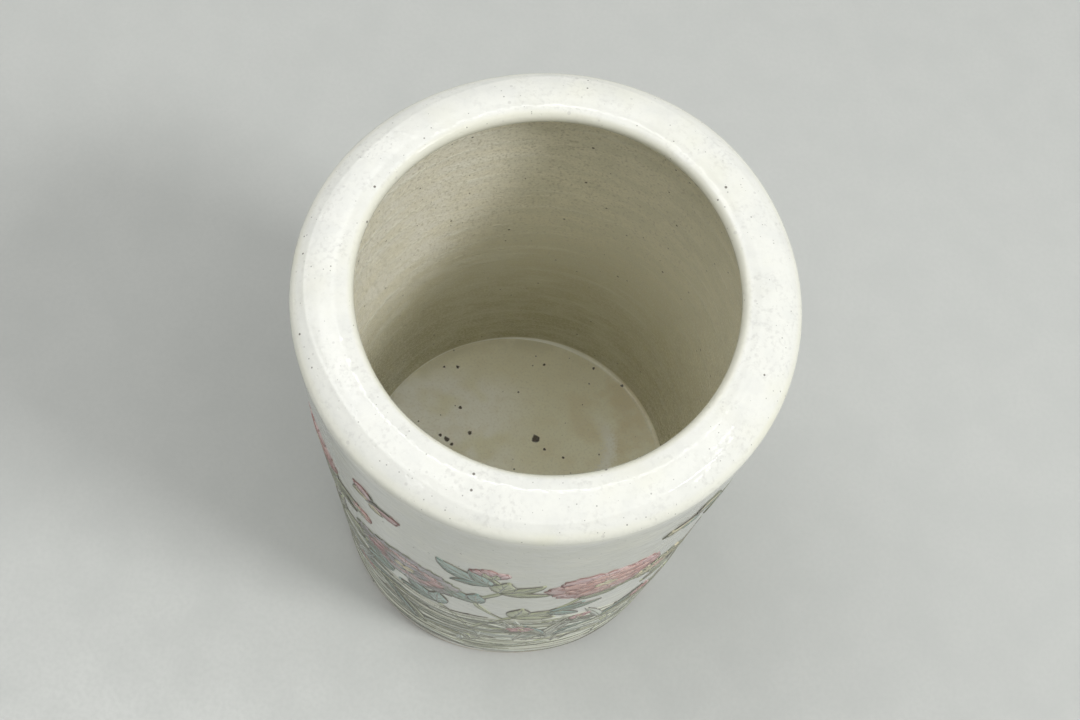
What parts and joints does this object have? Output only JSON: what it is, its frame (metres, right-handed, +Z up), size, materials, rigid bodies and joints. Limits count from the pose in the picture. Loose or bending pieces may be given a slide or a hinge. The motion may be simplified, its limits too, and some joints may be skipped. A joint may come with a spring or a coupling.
{
  "type": "brush pot",
  "caption": "Cylindrical porcelain brush pot with a thick rounded lip, a deep well and a low foot ring, for standing brushes in.",
  "frame": {"origin": "centre of the foot ring, on the surface the pot stands on", "axes": "+Z up along the pot's axis; -Y is the side nearest the viewer in the picture"},
  "size_m": [0.101, 0.101, 0.14],
  "materials": {
    "white_glaze": "glossy warm-white glaze with fine iron specks",
    "well_glaze": "thin grey-buff glaze inside the well",
    "bare_clay": "bare fired clay, matt"
  },
  "bodies": {
    "root": {"lip": "white_glaze", "wall": "white_glaze", "floor": "well_glaze", "foot_ring": "bare_clay"}
  },
  "joints": []
}
